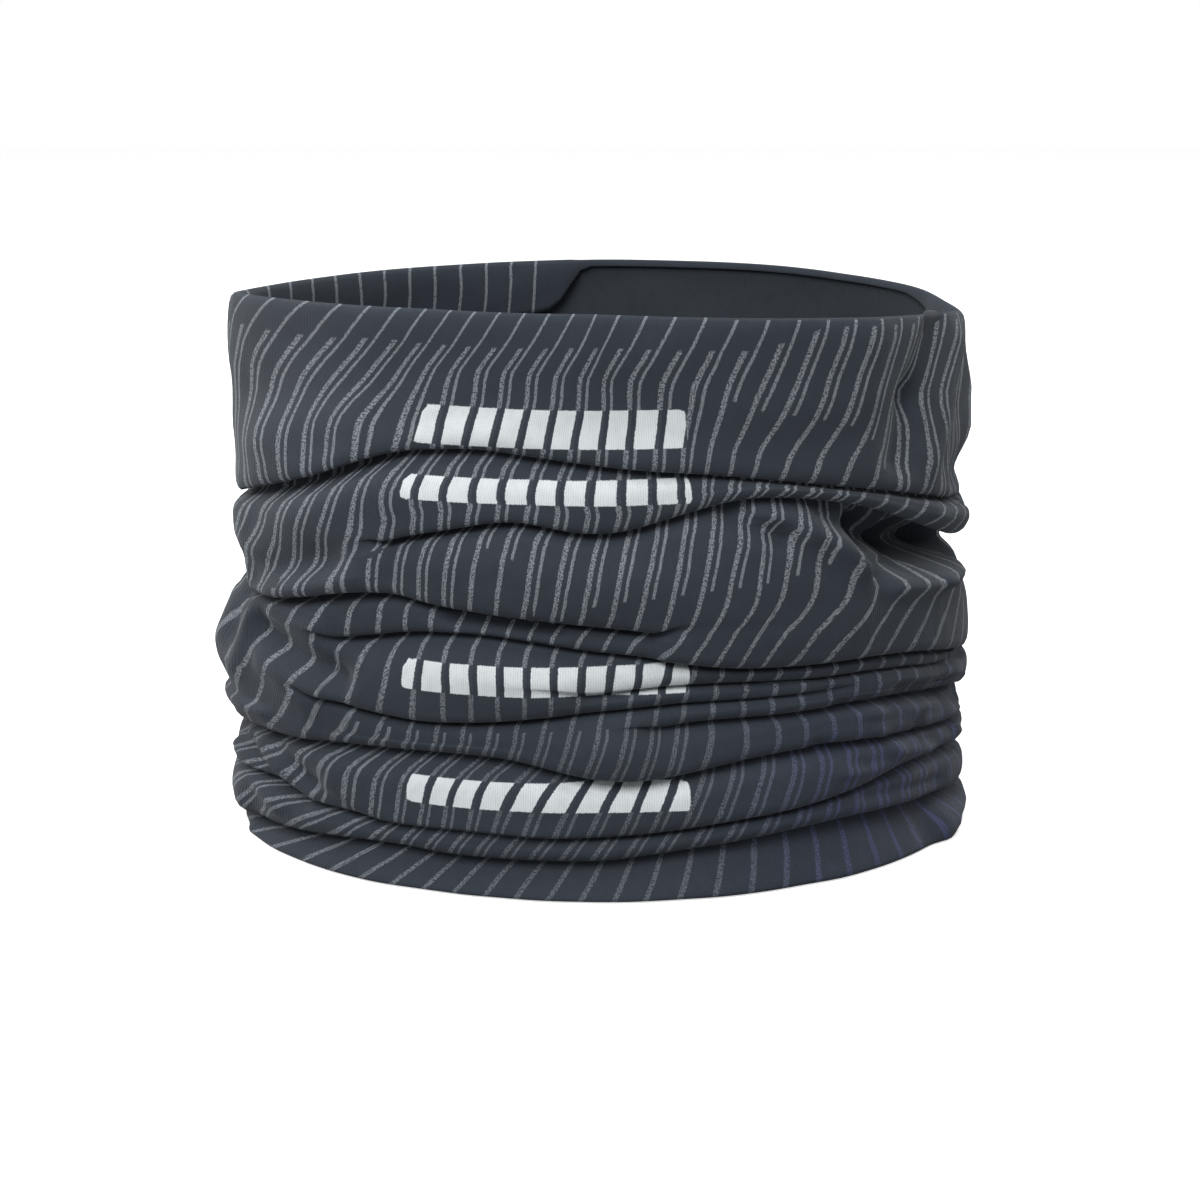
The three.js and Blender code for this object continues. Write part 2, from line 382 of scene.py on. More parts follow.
def cloth_controls(angles, stretch):
    """Control points of the cloth from the turned-in cut edge to the hem: out, up, place, mesh rows to the next
    one, and how deep each tuck is. stretch scales the tucks, round the neck."""
    out, up, place, rows = [], [], [], []

    def add(n, z, at_place, row_count):
        out.append(np.broadcast_to(n, angles.shape).astype(float))
        up.append(np.broadcast_to(z, angles.shape) * WORN_HEIGHT_MM / DRAWN_HEIGHT_MM)
        place.append(at_place)
        rows.append(row_count)

    rim = around(angles, RIM, 1)
    turned = around(angles, RIM, 2, softness=1.2)
    rolled = smooth_step((turned - 1.5) / 6.0)
    add(-0.4 - 1.5 * rolled, rim - turned, -1.0, 3)
    add(-0.4 - 1.6 * rolled, rim - 0.55 * turned, -0.7, 3)
    add(-0.3 - 1.2 * rolled, rim - np.minimum(1.8, 0.4 * turned), -0.4, 2)
    add(-0.6 * rolled, rim + 0.6 + 0.5 * rolled, -0.2, 2)
    add(0.9, rim + 0.4, 0.0, 2)
    above = rim - 1.0
    creases = list(CREASES.values())
    heights = [around(angles, knots, 1) for knots in creases]
    overlaps = [around(angles, knots, 2) * stretch for knots in creases]
    tucked = [smooth_step(overlap / 4.0) for overlap in overlaps]
    # Where a tuck has died out, the cloth above and below it is one band, which swells as one.
    tops, bottoms = [above], [heights[-1]]
    for height, share in zip(heights[:-1], tucked[:-1]):
        tops.append((height - 2.2) * share + tops[-1] * (1 - share))
    for height, share in zip(heights[-2::-1], tucked[-2::-1]):
        bottoms.insert(0, height * share + bottoms[0] * (1 - share))

    def swell(index, z):
        drop = tops[index] - bottoms[index]
        share = np.clip((tops[index] - z) / drop, 0.0, 1.0)
        if index == 0:
            return 1.5 - 0.5 * share
        crown = 0.3 + 0.7 * np.sin(math.pi * np.minimum(share / 1.3, 0.5)) - 0.12 * share
        return np.clip(drop * 0.28, 0.9, 3.8) * crown

    push = np.zeros_like(angles)
    fold_top = above
    for index, (height, overlap, share) in enumerate(zip(heights, overlaps, tucked)):
        long_band = index in (0, 2)
        places = (0.08, 0.2, 0.35, 0.5, 0.65, 0.79, 0.89) if long_band else (0.2, 0.5, 0.8)
        for at in places:
            z = above - at * (above - height - np.minimum(1.0, 0.3 * (above - height)))
            add(swell(index, z), z, index + at / 2, 1 if index in (4, 5, 6) else 2)
        lip = np.clip(0.85 * swell(index, height), 0.8, 3.2)
        room = np.maximum(fold_top - height - 3.0, 0.0)
        push = smooth_step((overlap - room) / 4.0) * (push + 2.6) * smooth_step(overlap / 6.0)
        tuck = list(tuck_profile(height, overlap, lip, push, share, z - height))
        deep = smooth_step(overlap / 7.0)
        for i, (n, z) in enumerate(tuck):
            n = deep * n + (1 - deep) * swell(index, z)
            add(n, z, index + 0.5 + (i + 1) / (len(tuck) + 1) / 2, 2 if i < 2 else 1)
        above = height - 2.2
        fold_top = height
    last = len(creases)
    add(-0.4, above * 0.66, last + 0.2, 2)
    add(0.9, above * 0.33, last + 0.4, 2)
    add(1.8, 0.9, last + 0.48, 1)
    add(1.9, 0.35, last + 0.5, 0)
    return np.array(out), np.array(up), np.array(place), rows, np.array(overlaps)


def on_bands(place, first, last):
    """1 on the bands from first to last, and 0 past the tucks beside them."""
    band = np.where(place % 1 > BEHIND_LIP, np.floor(place) + 1, np.floor(place))
    band = np.maximum(band, 0)
    return ((band >= first) & (band <= last)).astype(float)[:, None]


def dents(angles, height, place):
    """How far the soft ridges and hollows move the cloth in or out, in mm."""
    total = np.zeros_like(height)
    across = angles[None, :] * MM_PER_DEGREE
    for first, last, start, end, width, amount in DENTS:
        a = np.array((start[0] * MM_PER_DEGREE, start[1]))
        b = np.array((end[0] * MM_PER_DEGREE, end[1]))
        along = b - a
        share = ((across - a[0]) * along[0] + (height - a[1]) * along[1]) / (along @ along)
        share = np.clip(share, 0.0, 1.0)
        gap = np.hypot(across - a[0] - share * along[0], height - a[1] - share * along[1])
        near = smooth_step(3.2 * np.minimum(place - first + 0.3, last + 0.8 - place))[:, None]
        total += amount * near * np.exp(-((gap / width) ** 2))
    return total


def wrinkles(angles, height, seed, wide, tall, amount):
    """Smooth, seeded unevenness: wide and tall are the size of its waves in mm."""
    found = np.empty_like(height)
    for j, angle in enumerate(np.radians(angles)):
        x, y = MEAN_RADIUS_MM * math.sin(angle) / wide, MEAN_RADIUS_MM * math.cos(angle) / wide
        for i in range(height.shape[0]):
            found[i, j] = noise.noise(Vector((x, y + seed, height[i, j] / tall)))
    return amount * found


def inside_outline(angles, height, outline):
    """Signed distance in mm to an outline of (angle, height), positive inside it."""
    x = np.broadcast_to(angles[None, :] * MM_PER_DEGREE, height.shape)
    nearest = np.full(height.shape, np.inf)
    inside = np.zeros(height.shape, bool)
    corners = [(a * MM_PER_DEGREE, z) for a, z in outline]
    for (ax, az), (bx, bz) in zip(corners, corners[1:] + corners[:1]):
        share = ((x - ax) * (bx - ax) + (height - az) * (bz - az)) / ((bx - ax) ** 2 + (bz - az) ** 2)
        share = np.clip(share, 0.0, 1.0)
        nearest = np.minimum(nearest, np.hypot(x - ax - share * (bx - ax), height - az - share * (bz - az)))
        crosses = ((az > height) != (bz > height)) & (x < (bx - ax) * (height - az) / (bz - az + 1e-9) + ax)
        inside ^= crosses
    return np.where(inside, nearest, -nearest)


def lay_cloth(sizes):
    """Works out the cloth on a grid of mesh rows and columns."""
    columns = sizes.columns
    even = np.linspace(-180.0, 180.0, columns + 1)
    angles = even - 0.36 * np.degrees(np.sin(np.radians(even)))
    half_width, half_depth = sizes.half_width / MM, sizes.half_depth / MM
    turn = np.radians(angles)
    stretch = np.ones_like(angles)
    for _ in range(3):
        out, up, place, rows, overlaps = cloth_controls(angles, stretch)
        samples = [0.0]
        for i, count in enumerate(rows[:-1]):
            samples += [i + (k + 1) / count for k in range(count)]
        weights = spline_weights(samples, len(rows))
        n, z, b = weights @ out, weights @ up, weights @ place
        length = np.hypot(np.diff(n, axis=0), np.diff(z, axis=0)).sum(axis=0)
        slack = 2 * overlaps.sum(axis=0)
        stretch = np.clip(stretch * (slack + length.mean() - length) / slack, 0.7, 1.4)
    n = n + dents(angles, z, b)
    n = n + wrinkles(angles, z, 3.0, 30.0, 13.0, 1.1) * smooth_step((122 - z) / 20)
    n = n + wrinkles(angles, z, 11.0, 11.0, 7.0, 0.35)
    power = 1 + around(angles, LENS, 1) * smooth_step((z - 84) / 36)
    side = np.sign(np.sin(turn)) * np.abs(np.sin(turn)) ** power
    front = np.sign(np.cos(turn)) * np.abs(np.cos(turn)) ** power
    points = np.stack([(half_width + n) * side, -(half_depth + n) * front, np.maximum(z, 0.05)], axis=-1)
    points[:, -1] = points[:, 0]
    step = np.linalg.norm(np.diff(points, axis=0), axis=-1)
    down = np.concatenate([np.zeros((1, columns + 1)), np.cumsum(step, axis=0)])
    arc = np.hypot(half_width * np.cos(turn), half_depth * np.sin(turn))
    arc /= around(angles, SPREAD, 1)
    round_neck = np.concatenate([[0.0], np.cumsum((arc[1:] + arc[:-1]) / 2 * np.diff(turn))])
    round_neck *= sizes.flat_width / MM / round_neck[-1]
    # A tuck opens as the collar goes up: the leg behind its lip takes up all of the tuck's share of the lift.
    lift = np.ones_like(down)
    for k in range(len(overlaps)):
        behind = smooth_step((b - (k + 0.64)) / 0.10)[:, None]
        lift -= behind * overlaps[k] / overlaps.sum(axis=0)
    return {
        "angles": angles, "points": points * MM, "down": down, "across": round_neck, "place": b, "height": z,
        "lift": lift, "overlaps": overlaps,
    }


def print_lean(laid):
    """How far the print has run sideways at each point, in mm."""
    place = laid["place"]
    at = [row[0] for row in LEAN]
    knots = np.array([around(laid["angles"], row[1], 1) for row in LEAN])
    lean = np.array([np.interp(place, at, knots[:, j]) for j in range(knots.shape[1])]).T
    lean[place < -0.3] *= 0.15
    step = np.diff(laid["down"], axis=0)
    run = np.zeros_like(lean)
    first = int(np.argmin(np.abs(place)))
    for row in range(first, 0, -1):
        run[row - 1] = run[row] - step[row - 1] * lean[row]
    # Behind a lip the print straightens out again, the more the deeper the tuck is.
    nearby, wide = blur(laid["angles"], 7.0), blur(laid["angles"], 45.0)
    settle = [nearby @ smooth_step(overlap / 9.0) for overlap in laid["overlaps"]]
    for row in range(first + 1, len(place)):
        tuck = int(place[row])
        free = run[row - 1] + step[row - 1] * lean[row]
        if place[row] % 1 > BEHIND_LIP and tuck < len(settle):
            progress = min((place[row] - place[row - 1]) / max(tuck + 1.0 - place[row - 1], 0.02), 1.0)
            free = run[row - 1] + step[row - 1] * lean[row] * (1 - settle[tuck])
            free = free + (wide @ free - free) * settle[tuck] * progress
        run[row] = free
    return evened(run, laid["across"])


def evened(run, plain):
    """The run, with the stripes' spacing kept between limits in every row."""
    gaps = np.diff(plain)
    slope = np.clip(1 + np.diff(run, axis=1) / gaps, 0.7, 1.3)
    slope *= gaps.sum() / (slope * gaps).sum(axis=1, keepdims=True)
    even = np.concatenate([np.zeros((len(run), 1)), np.cumsum(slope * gaps, axis=1)], axis=1) - plain
    return even + (run - even).mean(axis=1, keepdims=True)


def print_marks(laid):
    """Where the print's parts show: the bars' signed distance in mm, and from 0 to 1 the chalk line, the thin
    line, the violet and the lines' brightness, which is painted shade that dims them towards the bottom."""
    angles, height, place = laid["angles"], laid["height"], laid["place"]
    across = np.broadcast_to(angles[None, :], height.shape)
    bars = np.full(height.shape, FAR_OUTSIDE)
    left, right = BAR_ENDS
    for first, last, low, high in BARS:
        outline = ((left, low), (right, low), (right, high), (left, high))
        shown = on_bands(place, first, last) > 0
        bars = np.maximum(bars, np.where(shown, inside_outline(angles, height, outline), FAR_OUTSIDE))
    rim = around(angles, RIM, 1)
    collar = on_bands(place, 0, 0)
    turned_in = (place < -0.1).astype(float)[:, None]
    chalk_from = 6.3 - 5.0 * smooth_step((across - 22) / 14)
    chalk = np.where(collar > 0, (rim - height - chalk_from) / 1.5 + 0.5, 1.0)
    chalk = np.where(turned_in > 0, 0.0, chalk)
    thin_end = np.interp(across, (10, 18, 30, 42, 52, 60), (80, 108, 103, 100, 80, 70))
    thin_collar = (height - thin_end) / 1.5 + 0.5
    broad_end = np.interp(across, (-30, -22, -18, -12, -8, 0, 30, 40, 60), (0, 0, 78, 76, 60, 66, 70, 73, 90))
    thin_broad = (height - broad_end) / 1.5 + 0.5
    thin = np.where(collar > 0, thin_collar, 1.0)
    thin = np.where(on_bands(place, 2, 2) > 0, thin_broad, thin)
    middle = np.where((across > -42) & (across < 14) & (on_bands(place, 7, 7) > 0), 1.0, 0.0)
    thin = np.where(on_bands(place, 3, 7) > 0, middle, thin)
    thin = np.where(on_bands(place, 10, 10) > 0, 0.0, thin)
    thin = np.where((on_bands(place, 8, 9) > 0) & (across > 62), 0.0, thin)
    thin = np.where((turned_in > 0) & ((across < -170) | (across > 20)), 0.0, thin)
    thin = np.where((on_bands(place, 1, 1) > 0) & (across > 42), 0.0, thin)
    # Painted shade: the lines are dimmed towards the bottom, and more on the right than on the left.
    low = smooth_step((62 - height) / 28)
    line_shade = 1.0 - low * (0.15 + 0.42 * smooth_step((across + 48) / 40))
    violet = smooth_step((across - 12) / 30) * smooth_step((52 - height) / 26) * smooth_step((130 - across) / 40)
    return {
        "Bars": bars, "Chalk": np.clip(chalk, 0, 1), "Thin": np.clip(thin, 0, 1), "Violet": violet,
        "LineShade": line_shade,
    }


def add_wall(bm, thickness, per_width, per_length):
    """The reverse side one thickness in from the printed one, with the two cut edges between them.

    On the bake map the printed side has most of the room; the reverse is below it and the edges lie between.
    """
    cloth_map, print_map, bake_map = (bm.loops.layers.uv[name] for name in ("Cloth", "Print", "OFBake"))
    bm.normal_update()
    outer = list(bm.faces)
    cut = [loop for face in outer for loop in face.loops if loop.edge.is_boundary]
    copied = bmesh.ops.duplicate(bm, geom=list(bm.verts) + list(bm.edges) + outer)
    twin = copied["vert_map"]
    for vert in {vert for face in outer for vert in face.verts}:
        twin[vert].co = vert.co - vert.normal * thickness
    inner = [copied["face_map"][face] for face in outer]
    bmesh.ops.reverse_faces(bm, faces=inner)
    for faces, low, high in ((outer, 0.25, 0.99), (inner, 0.01, 0.21)):
        for loop in (loop for face in faces for loop in face.loops):
            across, along = loop[cloth_map].uv
            loop[bake_map].uv = (across * per_width, low + (high - low) * along * per_length)
    # The leg behind a lip turns over as its tuck opens, so the print is on its other side.
    lift = bm.verts.layers.float["Lift"]
    for face, twin_face in zip(outer, inner):
        ends = sorted(face.loops, key=lambda loop: loop[cloth_map].uv[1])
        above, below = ends[0].vert, ends[-1].vert
        turns_over = below.co.z > above.co.z and below[lift] < above[lift] - 1e-4
        face.material_index, twin_face.material_index = (1, 0) if turns_over else (0, 1)
    half_way = 0.5
    for at_hem in (False, True):
        ring = [loop.edge for loop in cut if (loop[cloth_map].uv[1] * per_length > half_way) == at_hem]
        bmesh.ops.bridge_loops(bm, edges=ring + [copied["edge_map"][edge] for edge in ring])
    for here in cut:
        after = here.link_loop_next
        source = {here.vert: here, after.vert: after, twin[here.vert]: here, twin[after.vert]: after}
        low = 0.24 if here[cloth_map].uv[1] * per_length > half_way else 0.225
        side = next(face for face in here.edge.link_faces if face != here.face)
        side.smooth = True
        for corner in side.loops:
            old = source[corner.vert]
            rise = 0.005 if corner.vert == old.vert else 0.0
            corner[cloth_map].uv = old[cloth_map].uv
            corner[print_map].uv = old[print_map].uv
            corner[bake_map].uv = (old[cloth_map].uv[0] * per_width, low + rise)


def build_cloth_mesh(sizes):
    laid = lay_cloth(sizes)
    points, down = laid["points"], laid["down"]
    rows, columns = points.shape[0], points.shape[1] - 1
    plain = np.broadcast_to(laid["across"][None, :], down.shape)
    leaning = plain + print_lean(laid) + PRINT_SHIFT_MM
    values = {**print_marks(laid), "Lift": laid["lift"]}
    bm = bmesh.new()
    bmesh.ops.create_grid(bm, x_segments=columns, y_segments=rows - 1, size=1.0)
    cloth_map = bm.loops.layers.uv.new("Cloth")
    print_map = bm.loops.layers.uv.new("Print")
    bm.loops.layers.uv.new("OFBake")
    layers = {name: bm.verts.layers.float.new(name) for name in values}
    places = {}
    for vert in bm.verts:
        column = round((vert.co.x + 1) / 2 * columns)
        row = round((1 - vert.co.y) / 2 * (rows - 1))
        places[vert] = (row, column)
    for face in bm.faces:
        face.smooth = True
        for loop in face.loops:
            row, column = places[loop.vert]
            loop[cloth_map].uv = (plain[row, column] * MM, down[row, column] * MM)
            loop[print_map].uv = (leaning[row, column] * MM, down[row, column] * MM)
    for vert, (row, column) in places.items():
        vert.co = points[row, column]
        for name, layer in layers.items():
            vert[layer] = values[name][row, column]
    bmesh.ops.remove_doubles(bm, verts=bm.verts, dist=1e-7)
    bmesh.ops.recalc_face_normals(bm, faces=bm.faces)
    outward = sum(face.normal.xy.dot(face.calc_center_median().xy) for face in bm.faces)
    if outward < 0:
        bmesh.ops.reverse_faces(bm, faces=bm.faces)
    add_wall(bm, sizes.thickness, 1 / sizes.flat_width, 1 / (down.max() * MM))
    mesh = bpy.data.meshes.new("cloth_tube")
    bm.to_mesh(mesh)
    bm.free()
    return mesh


class Nodes:
    """Adds nodes to one tree. A socket may be given as another node's output or as a plain value."""

    def __init__(self, tree):
        self.tree = tree

    def put(self, socket, value):
        if isinstance(value, bpy.types.NodeSocket):
            self.tree.links.new(value, socket)
        else:
            socket.default_value = value

    def add(self, kind, inputs=(), **settings):
        node = self.tree.nodes.new(kind)
        for name, value in settings.items():
            setattr(node, name, value)
        pairs = inputs.items() if isinstance(inputs, dict) else enumerate(inputs)
        for key, value in pairs:
            self.put(node.inputs[key], value)
        return node

    def math(self, operation, *inputs):
        return self.add("ShaderNodeMath", inputs, operation=operation).outputs[0]

    def step(self, value, low, high):
        """0 below low and 1 above high, or the other way round, smoothly."""
        node = self.add("ShaderNodeMapRange", interpolation_type="SMOOTHSTEP")
        for name, given in (("Value", value), ("From Min", low), ("From Max", high)):
            self.put(node.inputs[name], given)
        return node.outputs[0]

    def mix(self, share, first, second):
        node = self.add("ShaderNodeMix", data_type="RGBA")
        for socket, given in zip((node.inputs[0], node.inputs[6], node.inputs[7]), (share, first, second)):
            self.put(socket, given)
        return node.outputs[2]

    def noise(self, vector, scale, detail=2.0, roughness=0.5):
        inputs = {"Vector": vector, "Scale": scale, "Detail": detail, "Roughness": roughness}
        return self.add("ShaderNodeTexNoise", inputs).outputs["Fac"]

    def attribute(self, name):
        return self.add("ShaderNodeAttribute", attribute_name=name).outputs["Fac"]

    def uv(self, name):
        return self.add("ShaderNodeUVMap", uv_map=name).outputs["UV"]


def new_group(name, inputs, outputs):
    """A shader node group with (name, type, default) inputs and (name, type) outputs."""
    group = bpy.data.node_groups.new(name, "ShaderNodeTree")
    for label, kind, default in inputs:
        socket = group.interface.new_socket(label, in_out="INPUT", socket_type=f"NodeSocket{kind}")
        if default is not None:
            socket.default_value = default
    for label, kind in outputs:
        group.interface.new_socket(label, in_out="OUTPUT", socket_type=f"NodeSocket{kind}")
    nodes = Nodes(group)
    return group, nodes, nodes.add("NodeGroupInput").outputs, nodes.add("NodeGroupOutput").inputs


def knit_group():
    """Jersey knit: columns of V-shaped loops, as a height from 0 to 1 and a slow unevenness."""
    inputs = (("Vector", "Vector", None), ("Wale", "Float", 0.00062), ("Course", "Float", 0.00050))
    group, nodes, given, wanted = new_group("Jersey knit", inputs, (("Height", "Float"), ("Uneven", "Float")))
    split = nodes.add("ShaderNodeSeparateXYZ", (given["Vector"],)).outputs
    wander = nodes.noise(given["Vector"], 900.0, 1.0)
    across = nodes.math("ADD", nodes.math("DIVIDE", split[0], given["Wale"]), nodes.math("MULTIPLY", wander, 0.5))
    down = nodes.math("DIVIDE", split[1], given["Course"])
    side = nodes.math("ABSOLUTE", nodes.math("SUBTRACT", nodes.math("FRACT", across), 0.5))
    rib = nodes.math("SUBTRACT", 1.0, nodes.math("POWER", nodes.math("MULTIPLY", side, 2.0), 3.0))
    loop = nodes.math("ADD", down, nodes.math("MULTIPLY", side, 1.6))
    wave = nodes.math("COSINE", nodes.math("MULTIPLY", loop, 2 * math.pi))
    height = nodes.math("MULTIPLY", rib, nodes.math("MULTIPLY_ADD", wave, 0.3, 0.7))
    nodes.put(wanted["Height"], height)
    nodes.put(wanted["Uneven"], nodes.noise(given["Vector"], 260.0, 4.0, 0.7))
    return group


def stripe_group():
    """The print's lines: chalky wide ones with a thin one to the right of each, and the gaps in the bars."""
    inputs = (
        ("Vector", "Vector", None), ("Pitch", "Float", 0.00735), ("Chalk", "Float", 1.0), ("Thin", "Float", 1.0),
        ("Bars", "Float", FAR_OUTSIDE), ("LineShade", "Float", 1.0),
    )
    group, nodes, given, wanted = new_group("Gaiter print", inputs, (("Lines", "Float"), ("Bars", "Float")))
    split = nodes.add("ShaderNodeSeparateXYZ", (given["Vector"],)).outputs
    sway = nodes.math("MULTIPLY_ADD", nodes.noise(given["Vector"], 90.0, 2.0), 0.0012, -0.0006)
    rough = nodes.math("MULTIPLY_ADD", nodes.noise(given["Vector"], 2400.0, 1.0), 0.0005, -0.00025)
    moved = nodes.math("ADD", nodes.math("ADD", split[0], sway), rough)
    place = nodes.math("MODULO", nodes.math("ADD", moved, 10.0), given["Pitch"])
    place = nodes.math("SUBTRACT", place, nodes.math("MULTIPLY", given["Pitch"], 0.5))
    wide = nodes.step(nodes.math("ABSOLUTE", place), 0.00078, 0.00056)
    slim = nodes.step(nodes.math("ABSOLUTE", nodes.math("SUBTRACT", place, 0.00240)), 0.00050, 0.00032)
    grain = nodes.step(nodes.noise(given["Vector"], 2300.0, 2.0, 0.7), 0.40, 0.54)
    fine = nodes.step(nodes.noise(given["Vector"], 2100.0, 2.0, 0.7), 0.34, 0.48)
    wide = nodes.math("MULTIPLY", nodes.math("MULTIPLY", wide, nodes.step(given["Chalk"], 0.4, 0.6)), grain)
    slim = nodes.math("MULTIPLY", nodes.math("MULTIPLY", slim, nodes.step(given["Thin"], 0.4, 0.6)), fine)
    gap = nodes.step(nodes.math("ABSOLUTE", nodes.math("SUBTRACT", place, 0.0008)), 0.00105, 0.00125)
    edge = nodes.step(nodes.math("ADD", given["Bars"], nodes.math("MULTIPLY", rough, 800.0)), -0.12, 0.12)
    nodes.put(wanted["Bars"], nodes.math("MULTIPLY", gap, edge))
    lines = nodes.math("MAXIMUM", wide, nodes.math("MULTIPLY", slim, 0.85))
    # The lines are scaled down by the painted shade that dims them towards the bottom.
    lines = nodes.math("MULTIPLY", lines, given["LineShade"])
    nodes.put(wanted["Lines"], nodes.math("MULTIPLY", lines, nodes.math("MULTIPLY_ADD", edge, -0.9, 1.0)))
    return group


def knit_material(name, knit, roughness):
    """A new cloth material with its knit: the material, its nodes, its shader and the knit node."""
    material = bpy.data.materials.new(name)
    material.use_nodes = True
    nodes = Nodes(material.node_tree)
    shader = material.node_tree.nodes["Principled BSDF"]
    loops = nodes.add("ShaderNodeGroup", node_tree=knit)
    nodes.put(loops.inputs["Vector"], nodes.uv("Cloth"))
    bump = nodes.add(
        "ShaderNodeBump", {"Height": loops.outputs["Height"], "Strength": 0.5, "Distance": 0.0002}
    ).outputs[0]
    nodes.put(shader.inputs["Normal"], bump)
    shader.inputs["Roughness"].default_value = roughness
    shader.inputs["Specular IOR Level"].default_value = 0.3
    shader.inputs["Sheen Weight"].default_value = 0.12
    shader.inputs["Sheen Roughness"].default_value = 0.3
    return material, nodes, shader, loops


def printed_material(knit, stripes, look):
    material, nodes, shader, loops = knit_material("Printed knit", knit, 0.85)
    lines = nodes.add("ShaderNodeGroup", node_tree=stripes)
    nodes.put(lines.inputs["Vector"], nodes.uv("Print"))
    lines.inputs["Pitch"].default_value = 0.5 / look.stripes
    # The last of these attributes carries the painted shade that dims the lines towards the bottom.
    for name in ("Chalk", "Thin", "Bars", "LineShade"):
        nodes.put(lines.inputs[name], nodes.attribute(name))
    violet = nodes.attribute("Violet")
    shade = nodes.math("MULTIPLY_ADD", loops.outputs["Uneven"], 0.5, 0.75)
    # Painted shade: the knit's height darkens the colour in the hollows between the loops, on top of its random
    # unevenness of tone.
    shade = nodes.math("MULTIPLY", shade, nodes.math("MULTIPLY_ADD", loops.outputs["Height"], 0.34, 0.74))
    ground = nodes.mix(nodes.math("MULTIPLY", violet, 0.22), (*look.ground, 1), (0.042, 0.048, 0.085, 1))
    line = nodes.mix(violet, (*look.line, 1), (*look.violet, 1))
    colour = nodes.mix(lines.outputs["Lines"], ground, line)
    colour = nodes.mix(lines.outputs["Bars"], colour, (*look.bar, 1))
    tone = nodes.mix(shade, (0, 0, 0, 1), colour)
    nodes.put(shader.inputs["Base Color"], tone)
    return material


def reverse_material(knit, look):
    material, nodes, shader, loops = knit_material("Knit reverse", knit, 0.9)
    shade = nodes.math("MULTIPLY_ADD", loops.outputs["Uneven"], 0.7, 0.65)
    nodes.put(shader.inputs["Base Color"], nodes.mix(shade, (0, 0, 0, 1), (*look.reverse, 1)))
    return material


class GAITER_OT_cloth(bpy.types.Operator):
    """Builds the folded cloth tube"""

    bl_idname = "gaiter.cloth"
    bl_label = "Cloth tube"

    def execute(self, context):
        sizes, look = context.scene.gaiter_cloth, context.scene.gaiter_print
        mesh = build_cloth_mesh(sizes)
        cloth = bpy.data.objects.new("cloth_tube", mesh)
        context.scene.collection.objects.link(cloth)
        knit, stripes = knit_group(), stripe_group()
        mesh.materials.append(printed_material(knit, stripes, look))
        mesh.materials.append(reverse_material(knit, look))
        open_tucks(cloth)
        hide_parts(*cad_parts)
        return {"FINISHED"}


def open_tucks(cloth):
    """Blends the cloth from the hem to the rim along the cloth, so that each tuck opens by its own share of the
    lift and the bands between them keep their shape. The blend reads heights, so each point stands at its share
    of the lift while it is made, and is put back after it."""
    mesh = cloth.data
    count = len(mesh.vertices)
    real = np.empty(3 * count)
    mesh.vertices.foreach_get("co", real)
    lift = np.empty(count)
    mesh.attributes["Lift"].data.foreach_get("value", lift)
    share = 0.5 - np.sin(np.arcsin(1 - 2 * np.clip(lift, 0, 1)) / 3)
    stood = np.zeros((count, 3))
    stood[:, 2] = share
    mesh.vertices.foreach_set("co", stood.ravel())
    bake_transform(cloth, "neck_base", "collar", start=(0, 0, 0), end=(0, 0, 1))
    mesh.vertices.foreach_set("co", real)
    mesh.update()


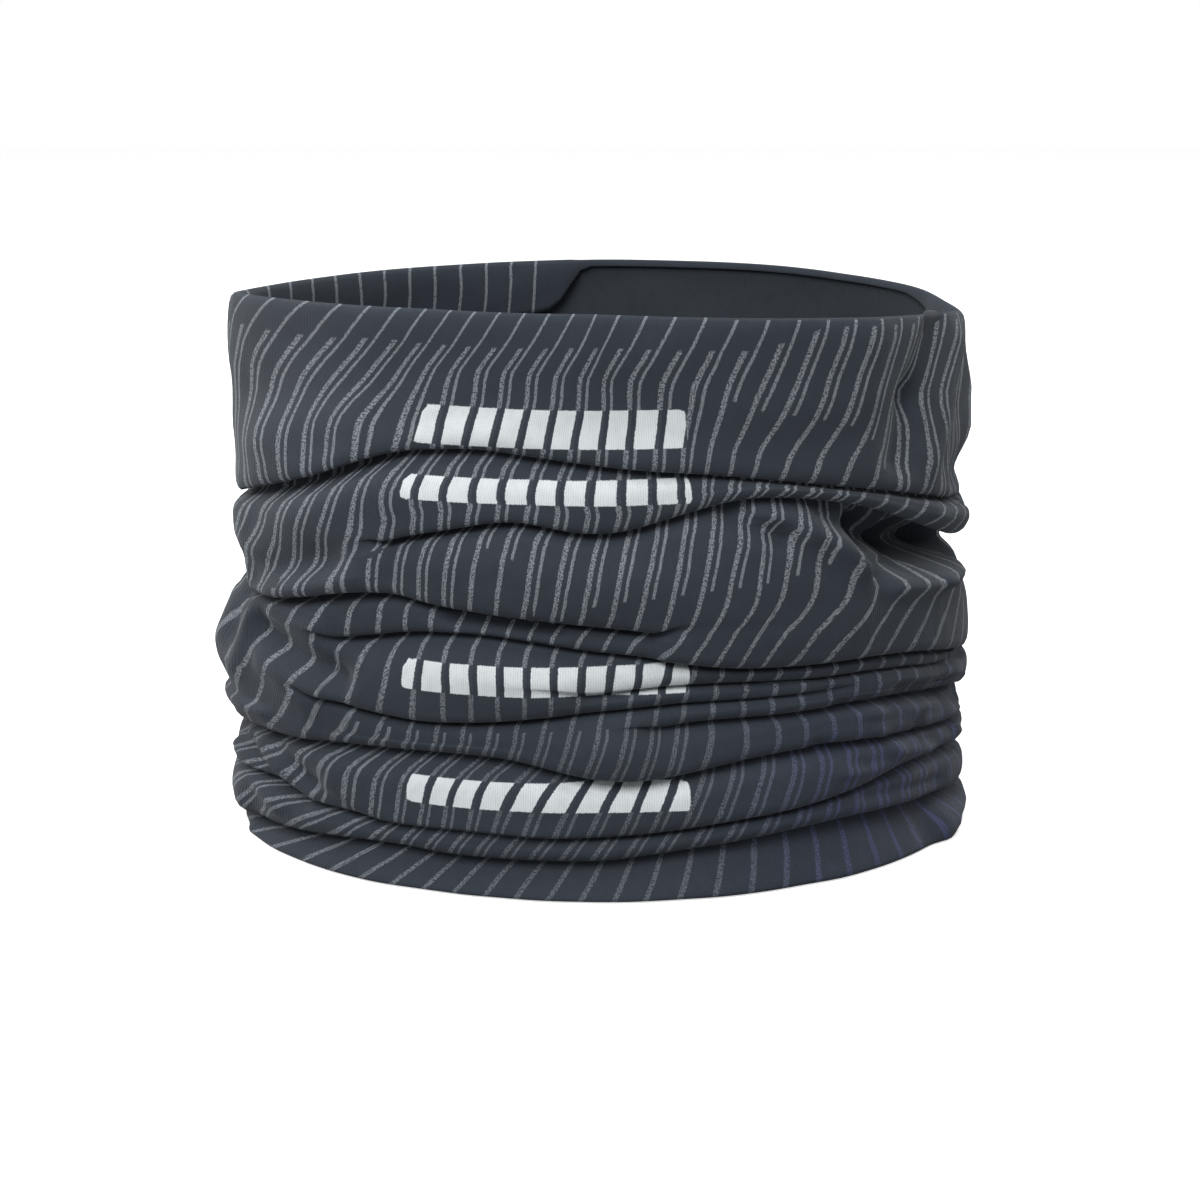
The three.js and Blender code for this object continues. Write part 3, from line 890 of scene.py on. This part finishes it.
class GAITER_OT_stage(bpy.types.Operator):
    """Makes the floor, the lights and the camera"""

    bl_idname = "gaiter.stage"
    bl_label = "Stage"

    def execute(self, context):
        scene = context.scene
        bm = bmesh.new()
        bmesh.ops.create_grid(bm, x_segments=1, y_segments=1, size=3)
        mesh = bpy.data.meshes.new("floor")
        bm.to_mesh(mesh)
        bm.free()
        floor = bpy.data.objects.new("floor", mesh)
        scene.collection.objects.link(floor)
        paint = bpy.data.materials.new("Floor")
        paint.use_nodes = True
        nodes = Nodes(paint.node_tree)
        pale = paint.node_tree.nodes["Principled BSDF"]
        pale.inputs["Base Color"].default_value = (0.9, 0.9, 0.9, 1)
        pale.inputs["Roughness"].default_value = 0.9
        pale.inputs["Emission Color"].default_value = (1, 1, 1, 1)
        pale.inputs["Emission Strength"].default_value = 0.6
        bounce = nodes.add("ShaderNodeBsdfDiffuse", {"Color": (0.3, 0.3, 0.3, 1)}).outputs[0]
        seen = nodes.add("ShaderNodeLightPath").outputs["Is Camera Ray"]
        mixed = nodes.add("ShaderNodeMixShader", (seen, bounce, pale.outputs[0])).outputs[0]
        nodes.put(paint.node_tree.nodes["Material Output"].inputs["Surface"], mixed)
        mesh.materials.append(paint)
        for name, place, size, power in (
            ("key_light", (-0.42, -1.1, 1.15), 0.9, 19),
            ("top_light", (0.0, 0.1, 1.3), 1.0, 10),
            ("left_light", (-1.2, 0.95, 0.4), 0.6, 8),
            ("right_light", (1.2, 0.85, 0.5), 0.6, 4),
        ):
            data = bpy.data.lights.new(name, "AREA")
            data.size = size
            data.energy = power
            lamp = bpy.data.objects.new(name, data)
            lamp.location = place
            aim = Vector((0, 0, 0.06)) - Vector(place)
            lamp.rotation_euler = aim.to_track_quat("-Z", "Y").to_euler()
            scene.collection.objects.link(lamp)
        world = bpy.data.worlds.new("world")
        world.use_nodes = True
        nodes = Nodes(world.node_tree)
        seen = nodes.add("ShaderNodeLightPath").outputs["Is Camera Ray"]
        nodes.put(
            world.node_tree.nodes["Background"].inputs["Strength"], nodes.math("MULTIPLY_ADD", seen, 0.61, 0.39)
        )
        world.node_tree.nodes["Background"].inputs["Color"].default_value = (1, 1, 1, 1)
        scene.world = world
        scene.view_settings.view_transform = "Standard"
        camera = bpy.data.objects.new("camera", bpy.data.cameras.new("camera"))
        camera.data.sensor_width = 36
        camera.data.lens = 77.7
        camera.location = (0, -0.600, 0.187)
        camera.rotation_euler = (math.radians(90 - 12.9), 0, 0)
        scene.collection.objects.link(camera)
        scene.camera = camera
        return {"FINISHED"}


class GAITER_PT_panel(bpy.types.Panel):
    """Lists the steps that build the gaiter"""

    bl_label = "Neck gaiter"
    bl_idname = "GAITER_PT_panel"
    bl_space_type = "VIEW_3D"
    bl_region_type = "UI"
    bl_category = "Gaiter"

    def draw(self, context):
        for step in STEPS:
            self.layout.operator(step.bl_idname)


STEPS = (GAITER_OT_stage, GAITER_OT_cloth)
CLASSES = (GaiterCloth, GaiterPrint, *STEPS, GAITER_PT_panel)


def register():
    for made in CLASSES:
        bpy.utils.register_class(made)
    bpy.types.Scene.gaiter_cloth = bpy.props.PointerProperty(type=GaiterCloth)
    bpy.types.Scene.gaiter_print = bpy.props.PointerProperty(type=GaiterPrint)


def unregister():
    del bpy.types.Scene.gaiter_print
    del bpy.types.Scene.gaiter_cloth
    for made in reversed(CLASSES):
        bpy.utils.unregister_class(made)


def main():
    register()
    bpy.ops.gaiter.stage()
    bpy.ops.gaiter.cloth()


if __name__ == "__main__":
    main()
